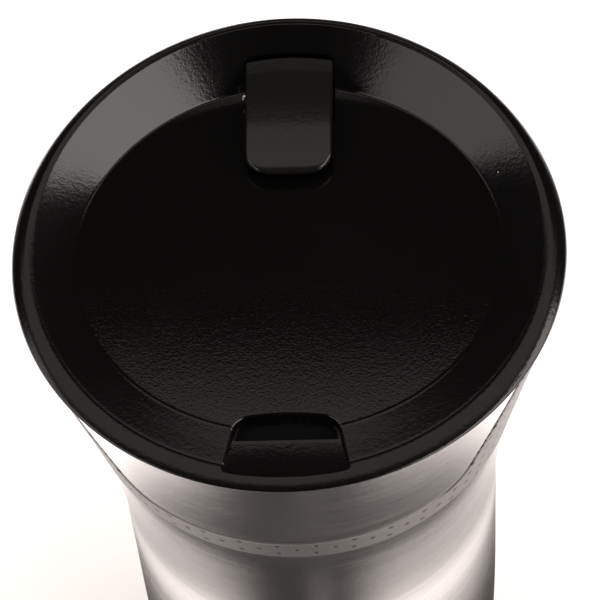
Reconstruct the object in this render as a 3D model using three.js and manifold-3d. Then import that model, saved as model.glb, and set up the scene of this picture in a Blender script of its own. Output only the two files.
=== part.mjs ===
// Insulated travel mug: a double-walled steel body with a dotted grip sleeve, and a
// push-in drinking lid whose rear lever swings a seal away from the drink opening.
// Millimetres, +Z up, origin at the centre of the foot, drink opening towards -Y.

import * as THREE from 'three';
import { mergeGeometries, mergeVertices } from 'three/addons/utils/BufferGeometryUtils.js';
import Module from 'manifold-3d';

const wasm = await Module();
wasm.setup();

// ---------------------------------------------------------------- driving dimensions

const GAP = 0.3; // clearance between pieces that touch
const ROUND = 40; // facets round the big turned pieces

// outer wall of the body: radius and height of each named section
const FOOT_R = 34.3;
const FOOT_Z = 6;
const HEEL_R = 35.5;
const HEEL_Z = 18;
const HIP_R = 36.0;
const HIP_Z = 66;
const LOWER_R = 34.9;
const LOWER_Z = 110;
const WAIST_R = 34.5;
const WAIST_Z = 128;
const NECK_R = 35.8;
const NECK_Z = 149;
const BAND_R = 38.2;
const BAND_Z = 166;
const MOUTH_R = 42.5;
const MOUTH_Z = 191.6;
const SHELL_WALL = 0.8;

// grip sleeve and the window in its front
const SLEEVE_Z0 = 157.4;
const SLEEVE_Z1 = 190.4;
const SLEEVE_OUT = 0.2; // how far it stands proud of the steel
const SLEEVE_IN = 0.5; // how far it is let into the steel
const WINDOW_Z = 164.7;
const WINDOW_HALF = 26.0; // half width at its lower edge
const WINDOW_FLARE = 0.36; // sideways growth for each mm of height
const WINDOW_CORNER = 3.5;
const DOTS = 39; // dimples in each row
const DOT_R = 0.5;
const DOT_DEPTH = 0.35;
const DOT_ROW_LOW = 159.5;
const DOT_ROW_HIGH = 161.4;

// inner cup
const CUP_WALL = 0.7;
const CUP_FLOOR = 8.2;
const CUP_R = 31.4;
const CUP_WAIST_R = 30.4;
const CUP_MOUTH_R = 38.2;
const FLANGE_R = 40.7;
const FLANGE_Z = 191.0;

// lid
const LID_Z = 192.1; // underside of the lid's rim
const LID_R = 43.2;
const CREST_R = 40.0; // inner edge of the rim, top of the bowl
const CREST_Z = 194.8;
const CREST_SLOPE = 0.04; // the crest rises towards the lever
const FLOOR_R = 34.4;
const FLOOR_Z = 191.0;
const FLOOR_SLOPE = 0.05; // the floor rises towards the drink opening
const FLOOR_WALL = 2.0;
const PLUG_R = 37.9; // lid's plug at the top of the mouth
const PLUG_LOW_R = 36.4;
const PLUG_BORE_R = 35.2;
const PLUG_Z = 174.8;
const GROOVE_R = 36.2;
const GROOVE_Z0 = 182.0;
const GROOVE_Z1 = 187.4;

// drink opening
const SIP_REAR = -30.4; // rear edge of the recess
const SIP_FRONT = -40.5;
const SIP_REAR_HALF = 7.4;
const SIP_FRONT_HALF = 9.3;
const SIP_STEP_Z = 191.4; // level of the step round the hole
const SIP_HOLE_REAR = -30.7; // rear edge of the hole through the floor
const SIP_HOLE_FRONT = -34.6;
const SIP_LEDGE_Z = 191.95; // ledge in front of the hole
const SIP_HOLE_HALF = 6.6;

// lever
const PIVOT_Y = 30.4;
const PIVOT_Z = 190.8;
const WELL_Y = 25.6; // front of the well under the hinge
const WELL_Z = 188.65;
const TAB_HALF = 7.1;
const TAB_TOP = 193.7;
const TAB_FRONT = 13.6;
const TAB_REAR_R = 36.8;
const TAB_CORNER = 4.1; // of its two front corners
const LUG_HALF = 2.5;
const PIN_R = 0.75;
const PIN_GAP = 0.2;
const PLUNGER_Y = 17.5;
const PLUNGER_R = 1.6;

// seal arm
const ARM_PIVOT_Y = 31.0;
const ARM_PIVOT_Z = 184.6;
const ARM_HALF = 4.0;
const ARM_THICK = 2.2;
const ARM_TOP = 187.15; // at Y = 0
const ARM_PIN_R = 1.0;
const SEAL_Y = -31.0;

// inner cover and its screws
const COVER_Z0 = 176.3;
const COVER_Z1 = 177.8;
const COVER_R = 34.9;
const BOSS_X = 24;
const BOSS_Y = 14;
const BOSS_R = 2.8;
const SCREW_R = 1.0;
const SPRING_Y = -2;

// ---------------------------------------------------------------- helpers

const lerp = THREE.MathUtils.lerp;
const clamp = THREE.MathUtils.clamp;

// closed solid from a geometry: vertices merged, faces pointing out
function solid(geometry) {
  const bare = geometry.index ? geometry.toNonIndexed() : geometry.clone();
  bare.deleteAttribute('normal');
  bare.deleteAttribute('uv');
  const merged = mergeVertices(bare, 1e-4);
  const index = Array.from(merged.index.array);
  const tris = [];
  for (let i = 0; i < index.length; i += 3) {
    const [a, b, c] = index.slice(i, i + 3);
    if (a !== b && b !== c && c !== a) tris.push(a, b, c);
  }
  const p = merged.attributes.position.array;
  let volume = 0;
  const v = [new THREE.Vector3(), new THREE.Vector3(), new THREE.Vector3()];
  for (let i = 0; i < tris.length; i += 3) {
    v.forEach((q, k) => q.fromArray(p, tris[i + k] * 3));
    volume += v[0].dot(v[1].clone().cross(v[2]));
  }
  if (volume < 0) tris.reverse();
  const mesh = new wasm.Mesh({
    numProp: 3,
    vertProperties: new Float32Array(p),
    triVerts: new Uint32Array(tris),
  });
  return new wasm.Manifold(mesh);
}

function fromSolid(body) {
  const m = body.getMesh();
  const g = new THREE.BufferGeometry();
  g.setAttribute('position', new THREE.BufferAttribute(new Float32Array(m.vertProperties), 3));
  g.setIndex(Array.from(m.triVerts));
  return g;
}

// closed ring or disc turned about Z from [radius, height] pairs
function turned(profile, facets = ROUND) {
  const points = profile.map(([r, z]) => new THREE.Vector2(r, z));
  const [first, last] = [points[0], points[points.length - 1]];
  if (first.x > 0 || last.x > 0) points.push(first.clone());
  return new THREE.LatheGeometry(points, facets).rotateX(Math.PI / 2);
}

// upright cylinder between two heights
function post(x, y, z0, z1, r, facets = 16) {
  const g = new THREE.CylinderGeometry(r, r, z1 - z0, facets);
  return g.rotateX(Math.PI / 2).translate(x, y, (z0 + z1) / 2);
}

// cylinder lying along X
function crossPin(y, z, half, r, facets = 16) {
  const g = new THREE.CylinderGeometry(r, r, half * 2, facets);
  return g.rotateZ(Math.PI / 2).translate(0, y, z);
}

function block(x0, x1, y0, y1, z0, z1) {
  const g = new THREE.BoxGeometry(x1 - x0, y1 - y0, z1 - z0);
  return g.translate((x0 + x1) / 2, (y0 + y1) / 2, (z0 + z1) / 2);
}

// plan outline (x, y) raised between two heights
function raised(shape, z0, z1, curveSegments = 5) {
  const g = new THREE.ExtrudeGeometry(shape, { depth: z1 - z0, bevelEnabled: false, curveSegments });
  return g.translate(0, 0, z0);
}

// side outline of [y, z] pairs, stretched along X
function sideCut(pairs, half) {
  const shape = new THREE.Shape(pairs.map(([y, z]) => new THREE.Vector2(y, z)));
  const g = new THREE.ExtrudeGeometry(shape, { depth: half * 2, bevelEnabled: false });
  const turn = new THREE.Matrix4().makeBasis(
    new THREE.Vector3(0, 1, 0), new THREE.Vector3(0, 0, 1), new THREE.Vector3(1, 0, 0));
  return g.applyMatrix4(turn).translate(-half, 0, 0);
}

// moves every vertex by a function of its place
function warped(geometry, shift) {
  const p = geometry.attributes.position;
  for (let i = 0; i < p.count; i += 1) {
    const [x, y, z] = [p.getX(i), p.getY(i), p.getZ(i)];
    p.setZ(i, z + shift(x, y, z));
  }
  return geometry;
}

const group = new THREE.Group();

function add(name, geometry, color, roughness, metalness) {
  geometry.computeVertexNormals();
  const material = new THREE.MeshStandardMaterial({ color, roughness, metalness });
  const mesh = new THREE.Mesh(geometry, material);
  mesh.name = name;
  group.add(mesh);
}

const STEEL = [0xb9b5b0, 0.32, 1.0];
const BRIGHT = [0xc8c8ca, 0.25, 1.0];
const BLACK = [0x141312, 0.42, 0.0];
const LEVER_BLACK = [0x171615, 0.34, 0.0];
const GREY_GRIP = [0x6f6c69, 0.6, 0.0];
const SILICONE = [0x1b1b1c, 0.7, 0.0];
const COPPER = [0xb87a55, 0.35, 1.0];

// ---------------------------------------------------------------- body

const sections = [
  [FOOT_R, FOOT_Z], [HEEL_R, HEEL_Z], [HIP_R, HIP_Z], [LOWER_R, LOWER_Z], [WAIST_R, WAIST_Z],
  [NECK_R, NECK_Z], [BAND_R, BAND_Z], [MOUTH_R, MOUTH_Z],
];
const wallCurve = new THREE.SplineCurve(sections.map(([r, z]) => new THREE.Vector2(r, z)));
const wallLine = wallCurve.getPoints(160);

// outer radius of the body at a height
function wallRadius(z) {
  const i = wallLine.findIndex((p) => p.y >= z);
  if (i < 1) return i < 0 ? MOUTH_R : FOOT_R;
  const [a, b] = [wallLine[i - 1], wallLine[i]];
  return lerp(a.x, b.x, (z - a.y) / (b.y - a.y));
}

// run of [radius, height] pairs that follows the outer wall at an offset
function alongWall(z0, z1, steps, offset) {
  return Array.from({ length: steps + 1 }, (_, i) => {
    const z = lerp(z0, z1, i / steps);
    return [wallRadius(z) + offset, z];
  });
}

// the window's outline in X and Z, grown by a margin, as a cutter that points to the front
function windowCutter(margin) {
  const half = WINDOW_HALF + margin;
  const low = WINDOW_Z - margin;
  const top = MOUTH_Z + 4;
  const wide = half + (top - low) * WINDOW_FLARE;
  const c = WINDOW_CORNER;
  const s = new THREE.Shape();
  s.moveTo(-half + c, low);
  s.lineTo(half - c, low);
  s.quadraticCurveTo(half, low, half + c * WINDOW_FLARE, low + c);
  s.lineTo(wide, top);
  s.lineTo(-wide, top);
  s.lineTo(-half - c * WINDOW_FLARE, low + c);
  s.quadraticCurveTo(-half, low, -half + c, low);
  const g = new THREE.ExtrudeGeometry(s, { depth: 40, bevelEnabled: false, curveSegments: 4 });
  return g.rotateX(Math.PI / 2).translate(0, -12, 0);
}

// outer shell: sheet steel, let in under the sleeve except behind the window
const innerOffset = -SLEEVE_IN - GAP - SHELL_WALL + 0.3;
const shellProfile = [
  [FOOT_R - 1.6, FOOT_Z - 2.6],
  ...alongWall(FOOT_Z, SLEEVE_Z0 - GAP, 10, 0),
  ...alongWall(SLEEVE_Z0, SLEEVE_Z1, 4, 0),
  [MOUTH_R, MOUTH_Z],
  [FLANGE_R + GAP, MOUTH_Z],
  ...alongWall(SLEEVE_Z0 - 2, SLEEVE_Z1, 3, innerOffset).reverse(),
  ...alongWall(FOOT_Z, SLEEVE_Z0 - 6, 6, -SHELL_WALL).reverse(),
  [FOOT_R - 1.6 - SHELL_WALL, FOOT_Z - 2.6],
];
const recess = turned([
  ...alongWall(SLEEVE_Z0 - GAP, SLEEVE_Z1 + GAP, 4, -SLEEVE_IN - GAP),
  ...alongWall(SLEEVE_Z0 - GAP, SLEEVE_Z1 + GAP, 4, 3).reverse(),
]);
const recessSolid = solid(recess).subtract(solid(windowCutter(0)));
add('outer_shell', fromSolid(solid(turned(shellProfile)).subtract(recessSolid)), ...STEEL);

// grip sleeve, with two rows of dimples staggered round its lower edge
const sleeve = turned([
  ...alongWall(SLEEVE_Z0, SLEEVE_Z1, 4, SLEEVE_OUT),
  ...alongWall(SLEEVE_Z0, SLEEVE_Z1, 4, -SLEEVE_IN).reverse(),
]);
const dimples = [];
[DOT_ROW_LOW, DOT_ROW_HIGH].forEach((z, row) => {
  for (let i = 0; i < DOTS; i += 1) {
    const angle = ((i + (row ? 0 : 0.5)) / DOTS) * Math.PI * 2;
    const g = new THREE.ConeGeometry(DOT_R * 4, 4 * DOT_DEPTH, 4).rotateX(Math.PI);
    g.translate(0, wallRadius(z) + SLEEVE_OUT + DOT_DEPTH, 0);
    g.rotateZ(Math.PI + angle).translate(0, 0, z);
    dimples.push(g);
  }
});
const sleeveSolid = solid(sleeve).subtract(solid(windowCutter(GAP)));
add('grip_sleeve', fromSolid(sleeveSolid.subtract(solid(mergeGeometries(dimples)))), ...GREY_GRIP);

// inner cup with an outward flange at the mouth
const cupInside = [
  [0, CUP_FLOOR], [25, CUP_FLOOR], [29, CUP_FLOOR + 1.6], [CUP_R - 0.6, CUP_FLOOR + 5],
  [CUP_R, 24], [CUP_R, 72], [CUP_WAIST_R + 0.3, LOWER_Z], [CUP_WAIST_R, WAIST_Z],
  [31.7, NECK_Z], [34.2, BAND_Z - 3], [37.1, PLUG_Z], [CUP_MOUTH_R, 181], [CUP_MOUTH_R, FLANGE_Z],
];
const cupOutside = cupInside.map(([r, z]) => (r < 29.5
  ? [r, z - CUP_WALL] : [r + CUP_WALL, z]));
cupOutside[cupOutside.length - 1] = [CUP_MOUTH_R + CUP_WALL, FLANGE_Z];
const cupProfile = [
  ...cupInside.slice(0, -1), [CUP_MOUTH_R, FLANGE_Z + CUP_WALL],
  [FLANGE_R, FLANGE_Z + CUP_WALL], [FLANGE_R, FLANGE_Z], ...cupOutside.reverse(),
];
add('inner_cup', fromSolid(solid(turned(cupProfile))), ...BRIGHT);

// thin foil that wraps the cup inside the vacuum gap
const FOIL = 0.35;
const foilRun = [[CUP_R, 26], [CUP_R, 72], [CUP_WAIST_R + 0.3, LOWER_Z], [CUP_WAIST_R, WAIST_Z],
  [31.7, NECK_Z]];
const foilProfile = [
  ...foilRun.map(([r, z]) => [r + CUP_WALL + GAP + FOIL, z]),
  ...foilRun.map(([r, z]) => [r + CUP_WALL + GAP, z]).reverse(),
];
add('heat_foil', turned(foilProfile), ...COPPER);

// getter capsule under the cup's floor, in the vacuum gap
add('getter', post(12, 0, 5.2, 7.0, 3.2, 20), ...BRIGHT);

// base plate with its sealing dimple, and the rubber foot ring below it
const PLATE_Z = FOOT_Z - 2.6;
const plateR = FOOT_R - 1.6 - SHELL_WALL - GAP;
add('base_plate', turned([
  [0, PLATE_Z + 0.8], [4, PLATE_Z + 0.8], [6, PLATE_Z], [plateR - 1.5, PLATE_Z],
  [plateR - 1.5, PLATE_Z + 0.8], [plateR, PLATE_Z + 0.8], [plateR, PLATE_Z + 1.6],
  [plateR - 2.3, PLATE_Z + 1.6], [plateR - 2.3, PLATE_Z + 0.8], [6.4, PLATE_Z + 0.8],
  [4.4, PLATE_Z + 1.5], [0, PLATE_Z + 1.5],
]), ...STEEL);
add('foot_ring', turned([
  [25.5, 0.5], [26.2, 0], [32.0, 0], [33.0, 0.9], [33.3, PLATE_Z - GAP], [25.5, PLATE_Z - GAP],
]), ...SILICONE);

// ---------------------------------------------------------------- lid

// height of the bowl's floor at Y
const floorAt = (y) => FLOOR_Z - FLOOR_SLOPE * y;

// the lid's top leans: the crest rises to the rear, and the floor rises to the front
function lidShift(x, y, z) {
  const r = Math.hypot(x, y);
  if (r < PLUG_BORE_R + 0.1) return z > PLUG_Z + 8 ? -FLOOR_SLOPE * y : 0;
  if (z < LID_Z + 0.05) return 0;
  const across = clamp((r - FLOOR_R) / (CREST_R - FLOOR_R), 0, 1);
  const slope = lerp(-FLOOR_SLOPE, CREST_SLOPE, across);
  const height = r > CREST_R ? clamp((z - LID_Z) / (CREST_Z - LID_Z), 0, 1) : 1;
  return slope * y * height;
}

const lidProfile = [
  [0, FLOOR_Z], [FLOOR_R, FLOOR_Z],
  [lerp(FLOOR_R, CREST_R, 0.5), lerp(FLOOR_Z, CREST_Z, 0.48)],
  [CREST_R - 0.3, CREST_Z - 0.15], [CREST_R + 0.7, CREST_Z],
  [CREST_R + 2.0, CREST_Z - 0.55], [CREST_R + 2.9, CREST_Z - 1.3], [LID_R, LID_Z + 0.6],
  [LID_R - 0.3, LID_Z], [PLUG_R, LID_Z], [PLUG_R, GROOVE_Z1], [GROOVE_R, GROOVE_Z1],
  [GROOVE_R, GROOVE_Z0], [PLUG_R - 0.9, GROOVE_Z0], [PLUG_R - 0.9, GROOVE_Z0 - 2.4],
  [PLUG_LOW_R, GROOVE_Z0 - 3.4], [PLUG_LOW_R, PLUG_Z], [PLUG_BORE_R, PLUG_Z],
  [PLUG_BORE_R, FLOOR_Z - FLOOR_WALL], [0, FLOOR_Z - FLOOR_WALL],
];
let lid = solid(warped(turned(lidProfile), lidShift));

// well in the floor and wall for the lever's hinge end
const wellRound = post(0, 0, 180, 200, TAB_REAR_R + 0.35, ROUND * 2);
const wellBox = block(-TAB_HALF - 0.6, TAB_HALF + 0.6, WELL_Y, 40, WELL_Z, 199);
lid = lid.subtract(solid(wellRound).intersect(solid(wellBox)));

// lug between the lever's cheeks, hangers for the seal arm, and bosses for the cover screws
const ABOVE = 0.6; // how far the added pieces run into the floor's thickness
const LUG_TOP = PIVOT_Z + 1.35;
lid = lid.add(solid(sideCut([
  [PIVOT_Y - 2.2, WELL_Z - ABOVE], [PIVOT_Y + 2.2, WELL_Z - ABOVE], [PIVOT_Y + 2.2, PIVOT_Z + 0.5],
  [PIVOT_Y + 1.2, LUG_TOP], [PIVOT_Y - 1.2, LUG_TOP], [PIVOT_Y - 2.2, PIVOT_Z + 0.5],
], LUG_HALF)));
for (const side of [-1, 1]) {
  const hanger = sideCut([
    [ARM_PIVOT_Y - 2.3, ARM_PIVOT_Z - 1.4], [ARM_PIVOT_Y - 1.2, ARM_PIVOT_Z - 2.3],
    [ARM_PIVOT_Y + 1.0, ARM_PIVOT_Z - 2.3], [ARM_PIVOT_Y + 2.0, ARM_PIVOT_Z - 1.4],
    [ARM_PIVOT_Y + 2.0, floorAt(ARM_PIVOT_Y) - FLOOR_WALL + ABOVE],
    [ARM_PIVOT_Y - 2.3, floorAt(ARM_PIVOT_Y) - FLOOR_WALL + ABOVE],
  ], 1).translate(side * (ARM_HALF + 1.4), 0, 0);
  lid = lid.add(solid(hanger));
}
const corners = [[-1, -1], [1, -1], [1, 1], [-1, 1]].map(([a, b]) => [a * BOSS_X, b * BOSS_Y]);
for (const [x, y] of corners) {
  lid = lid.add(solid(post(x, y, COVER_Z1 + GAP, floorAt(y) - FLOOR_WALL + ABOVE, BOSS_R)));
  lid = lid.subtract(solid(post(x, y, COVER_Z1, COVER_Z1 + 8.5, SCREW_R + 0.35, 12)));
}

// drink opening: a hole at the rear of a ledge that climbs to the front lip
function sipPlan() {
  const s = new THREE.Shape();
  s.moveTo(-SIP_FRONT_HALF + 1.2, SIP_FRONT);
  s.quadraticCurveTo(0, SIP_FRONT - 0.9, SIP_FRONT_HALF - 1.2, SIP_FRONT);
  s.lineTo(SIP_FRONT_HALF, SIP_FRONT + 1.0);
  s.lineTo(SIP_REAR_HALF + 0.3, SIP_REAR - 2.2);
  s.quadraticCurveTo(SIP_REAR_HALF, SIP_REAR - 0.5, SIP_REAR_HALF - 2.2, SIP_REAR - 0.2);
  s.quadraticCurveTo(0, SIP_REAR + 0.5, -SIP_REAR_HALF + 2.2, SIP_REAR - 0.2);
  s.quadraticCurveTo(-SIP_REAR_HALF, SIP_REAR - 0.5, -SIP_REAR_HALF - 0.3, SIP_REAR - 2.2);
  s.lineTo(-SIP_FRONT_HALF, SIP_FRONT + 1.0);
  s.closePath();
  return s;
}
const sipSide = sideCut([
  [SIP_REAR + 3, SIP_STEP_Z], [SIP_HOLE_FRONT - 0.3, SIP_STEP_Z], [SIP_HOLE_FRONT - 0.8, SIP_LEDGE_Z],
  [SIP_HOLE_FRONT - 3.2, LID_Z + 0.3], [SIP_FRONT - 1.6, LID_Z + 0.9], [SIP_FRONT - 1.6, 200],
  [SIP_REAR + 3, 200],
], 12);
lid = lid.subtract(solid(raised(sipPlan(), 183, 201, 4)).intersect(solid(sipSide)));
lid = lid.subtract(solid(block(
  -SIP_HOLE_HALF, SIP_HOLE_HALF, SIP_HOLE_FRONT, SIP_HOLE_REAR, 185, 200)));

// hinge pin holes and the plunger's hole
lid = lid.subtract(solid(crossPin(PIVOT_Y, PIVOT_Z, LUG_HALF + 1, PIN_R + PIN_GAP, 12)));
lid = lid.subtract(solid(crossPin(ARM_PIVOT_Y, ARM_PIVOT_Z, 9, ARM_PIN_R + PIN_GAP, 12)));
lid = lid.subtract(solid(post(0, PLUNGER_Y, 184, 196, PLUNGER_R + GAP)));
add('lid_shell', fromSolid(lid), ...BLACK);

// gasket with two sealing fins in the plug's groove
const fin = (z) => [[PLUG_R - 0.6, z - 0.9], [PLUG_R, z], [PLUG_R - 0.6, z + 0.3]];
add('lid_gasket', turned([
  [GROOVE_R + GAP, GROOVE_Z0 + GAP], [PLUG_R - 0.6, GROOVE_Z0 + GAP], ...fin(GROOVE_Z0 + 1.9),
  ...fin(GROOVE_Z0 + 4.2), [PLUG_R - 0.6, GROOVE_Z1 - GAP], [GROOVE_R + GAP, GROOVE_Z1 - GAP],
]), ...SILICONE);

// cover under the mechanism, with the drink port, an air hole and a peg for the spring
let cover = solid(turned([[0, COVER_Z0], [COVER_R, COVER_Z0], [COVER_R, COVER_Z1], [0, COVER_Z1]]));
cover = cover.add(solid(post(0, SPRING_Y, COVER_Z1 - 0.4, COVER_Z1 + 2.2, 2.2, 16)));
cover = cover.subtract(solid(block(-8, 8, -33, -26, COVER_Z0 - 2, COVER_Z1 + 2)));
cover = cover.subtract(solid(post(0, 25, COVER_Z0 - 2, COVER_Z1 + 2, 2.5, 16)));
for (const [x, y] of corners) {
  cover = cover.subtract(solid(post(x, y, COVER_Z0 - 2, COVER_Z1 + 2, SCREW_R + 0.35, 12)));
}
add('inner_cover', fromSolid(cover), ...BLACK);

// cover screws, head down
corners.forEach(([x, y], i) => {
  const head = solid(post(x, y, COVER_Z0 - GAP - 1.2, COVER_Z0 - GAP, 2.2, 14));
  const shank = solid(post(x, y, COVER_Z0 - GAP - 0.4, COVER_Z1 + 7.6, SCREW_R, 10));
  const cross = solid(block(x - 1.3, x + 1.3, y - 0.3, y + 0.3, COVER_Z0 - 4, COVER_Z0 - 0.9));
  add(`cover_screw_${i + 1}`, fromSolid(head.add(shank).subtract(cross)), ...BRIGHT);
});

// seal ring round the plunger, under the floor
const ringTop = floorAt(PLUNGER_Y) - FLOOR_WALL - GAP - 0.1;
add('plunger_ring', turned([
  [PLUNGER_R + GAP, ringTop - 1.0], [PLUNGER_R + 1.4, ringTop - 1.0], [PLUNGER_R + 1.4, ringTop],
  [PLUNGER_R + GAP, ringTop],
], 18).translate(0, PLUNGER_Y, 0), ...SILICONE);

// hinge pins of the lever and of the seal arm
add('lever_pin', crossPin(PIVOT_Y, PIVOT_Z, TAB_HALF + 0.35, PIN_R, 12), ...BRIGHT);
add('arm_pin', crossPin(ARM_PIVOT_Y, ARM_PIVOT_Z, ARM_HALF + 2.4, ARM_PIN_R, 12), ...BRIGHT);

// ---------------------------------------------------------------- lever

function tabPlan() {
  const s = new THREE.Shape();
  s.moveTo(-TAB_HALF + TAB_CORNER, TAB_FRONT);
  s.lineTo(TAB_HALF - TAB_CORNER, TAB_FRONT);
  s.quadraticCurveTo(TAB_HALF, TAB_FRONT, TAB_HALF, TAB_FRONT + TAB_CORNER);
  s.lineTo(TAB_HALF, 40);
  s.lineTo(-TAB_HALF, 40);
  s.lineTo(-TAB_HALF, TAB_FRONT + TAB_CORNER);
  s.quadraticCurveTo(-TAB_HALF, TAB_FRONT, -TAB_HALF + TAB_CORNER, TAB_FRONT);
  return s;
}
// flat rear, then a thumb rest that falls gently to the front edge
const tabSide = sideCut([
  [TAB_FRONT - 1, 192.2], [24.6, 191.3], [27.1, 189.1], [38, 189.0], [38, TAB_TOP],
  [26, TAB_TOP], [22.6, TAB_TOP - 0.06], [20, TAB_TOP - 0.2], [17, TAB_TOP - 0.36],
  [15.2, TAB_TOP - 0.5], [13.8, TAB_TOP - 0.72], [TAB_FRONT - 1, TAB_TOP - 0.9],
], 9);
let tab = solid(raised(tabPlan(), 185, 197)).intersect(solid(tabSide));
tab = tab.intersect(solid(post(0, 0, 180, 200, TAB_REAR_R, ROUND * 2)));
tab = tab.subtract(solid(block(
  -LUG_HALF - GAP, LUG_HALF + GAP, PIVOT_Y - 2.7, PIVOT_Y + 2.7, 185, LUG_TOP + 0.25)));
tab = tab.subtract(solid(crossPin(PIVOT_Y, PIVOT_Z, 12, PIN_R + PIN_GAP, 12)));
add('lever_tab', fromSolid(tab), ...LEVER_BLACK);

// plunger: passes the lever's push through the floor to the seal arm
add('plunger', post(0, PLUNGER_Y, ARM_TOP - FLOOR_SLOPE * PLUNGER_Y + GAP, 191.7, PLUNGER_R), ...BLACK);

// ---------------------------------------------------------------- seal arm

// arm drawn level, then leaned to run parallel to the floor
const lean = (x, y) => -FLOOR_SLOPE * y;
const armPlan = new THREE.Shape();
armPlan.moveTo(-7.2, SEAL_Y - 2.4);
armPlan.lineTo(7.2, SEAL_Y - 2.4);
armPlan.lineTo(7.2, SEAL_Y + 2.6);
armPlan.lineTo(ARM_HALF, SEAL_Y + 7);
armPlan.lineTo(ARM_HALF, ARM_PIVOT_Y);
armPlan.lineTo(-ARM_HALF, ARM_PIVOT_Y);
armPlan.lineTo(-ARM_HALF, SEAL_Y + 7);
armPlan.lineTo(-7.2, SEAL_Y + 2.6);
armPlan.closePath();
let arm = solid(warped(raised(armPlan, ARM_TOP - ARM_THICK, ARM_TOP), lean));
arm = arm.add(solid(crossPin(ARM_PIVOT_Y, ARM_PIVOT_Z, ARM_HALF, 2.1, 18)));
arm = arm.add(solid(post(0, SPRING_Y, ARM_TOP - ARM_THICK - 1.2, ARM_TOP - 1, 2.2, 16)));
arm = arm.subtract(solid(crossPin(ARM_PIVOT_Y, ARM_PIVOT_Z, 9, ARM_PIN_R + PIN_GAP, 12)));
arm = arm.subtract(solid(post(0, SEAL_Y, 180, 196, 1.5 + GAP, 12)));
add('seal_arm', fromSolid(arm), ...BLACK);

// silicone seal: pad under the drink opening, with a raised plug and a stem through the arm
const padZ = ARM_TOP + GAP;
const padTop = warped(block(-7.8, 7.8, -36, SEAL_Y + 2.8, padZ, padZ + 1.2), lean);
let seal = solid(padTop).intersect(solid(post(0, 0, 180, 196, PLUG_BORE_R - 0.4, ROUND)));
seal = seal.add(solid(post(0, SEAL_Y, 184.6, padZ + 2, 1.5, 12)));
seal = seal.add(solid(post(0, SEAL_Y, 184.6, 185.9, 2.3, 12)));
add('drink_seal', fromSolid(seal), ...SILICONE);

// return spring between the cover and the arm
const springLow = COVER_Z1 + GAP + 0.5;
const springTop = ARM_TOP + lean(0, SPRING_Y) - ARM_THICK - GAP - 0.5;
const TURNS = 4;
class Coil extends THREE.Curve {
  getPoint(t, target = new THREE.Vector3()) {
    const a = t * TURNS * Math.PI * 2;
    const z = lerp(springLow, springTop, t);
    return target.set(3.2 * Math.cos(a), SPRING_Y + 3.2 * Math.sin(a), z);
  }
}
const wire = new THREE.Shape();
wire.absarc(0, 0, 0.3, 0, Math.PI * 2);
add('return_spring', new THREE.ExtrudeGeometry(wire, {
  steps: 48, bevelEnabled: false, extrudePath: new Coil(), curveSegments: 5,
}), ...BRIGHT);

export default group;
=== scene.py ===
"""Insulated travel mug: fine meshes, materials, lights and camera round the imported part.

Lengths in the shape code are millimetres in the row frame; they become metres in mesh().
"""

import math

import bpy
import numpy as np
from mathutils import Matrix, Vector


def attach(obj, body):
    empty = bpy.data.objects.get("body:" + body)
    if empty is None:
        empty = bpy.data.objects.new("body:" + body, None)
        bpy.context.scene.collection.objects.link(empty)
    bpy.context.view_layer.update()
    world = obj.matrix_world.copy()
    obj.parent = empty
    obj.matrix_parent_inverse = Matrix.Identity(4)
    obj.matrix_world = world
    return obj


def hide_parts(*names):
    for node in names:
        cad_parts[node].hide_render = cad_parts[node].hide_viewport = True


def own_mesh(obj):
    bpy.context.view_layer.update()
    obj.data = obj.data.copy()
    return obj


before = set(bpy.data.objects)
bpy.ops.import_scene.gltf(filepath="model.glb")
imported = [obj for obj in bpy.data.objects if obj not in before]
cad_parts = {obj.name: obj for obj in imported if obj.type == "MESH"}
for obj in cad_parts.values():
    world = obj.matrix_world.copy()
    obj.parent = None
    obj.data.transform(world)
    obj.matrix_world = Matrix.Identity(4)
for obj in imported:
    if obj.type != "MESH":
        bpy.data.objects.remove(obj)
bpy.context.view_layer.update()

# ------------------------------------------------------------------ sizes, as in the part

SECTIONS = [(34.3, 6), (35.5, 18), (36.0, 66), (34.9, 110), (34.5, 128), (35.8, 149),
            (38.2, 166), (42.5, 191.6)]
SLEEVE_Z = (157.4, 190.4)
SLEEVE_OUT = 0.2
WINDOW_Z = 164.7
WINDOW_HALF = 26.0
WINDOW_FLARE = 0.36
WINDOW_CORNER = 3.5
DOTS = 39
DOT_ROW_Z = 161.4
DOT_ROW_STEP = 1.86

LID_Z = 192.1
CREST_R = 40.0
CREST_Z = 194.8
FLOOR_EDGE = 33.6
FLOOR_Z = 191.0
FLOOR_SLOPE = 0.05
FLOOR_WALL = 2.0
PLUG_R = 37.9
PLUG_LOW_R = 36.4
PLUG_BORE_R = 35.2
PLUG_Z = 174.8
GROOVE_R = 36.2
GROOVE_Z = (182.0, 187.4)
WELL_Z = 188.65

PIVOT = (30.4, 190.8)
ARM_PIVOT = (31.0, 184.6)
PIN_R = 0.75
TAB_HALF = 7.1
TAB_FRONT = 13.6
TAB_REAR = 36.6
TAB_TOP = 193.7
PLUNGER_Y = 17.5
ARM_TOP = 187.15
SEAL_Y = -31.0
COVER_Z = (176.3, 177.8)
BOSSES = [(-24, -14), (24, -14), (24, 14), (-24, 14)]
SPRING_Y = -2.0


# ------------------------------------------------------------------ mesh helpers

def mesh(name, verts, faces, material, body, stands_for=(), slot=None, sharp=38):
    """Makes a piece from millimetre vertices, gives it its finish and fixes it to a body."""
    data = bpy.data.meshes.new(name)
    data.from_pydata((np.asarray(verts, float) * 0.001).tolist(), [], faces)
    data.validate()
    data.update()
    for polygon in data.polygons:
        polygon.use_smooth = True
    data.set_sharp_from_angle(angle=math.radians(sharp))
    piece = bpy.data.objects.new(name, data)
    bpy.context.scene.collection.objects.link(piece)
    data.materials.append(material)
    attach(piece, body)
    if stands_for:
        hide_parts(*stands_for)
    return piece


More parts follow.
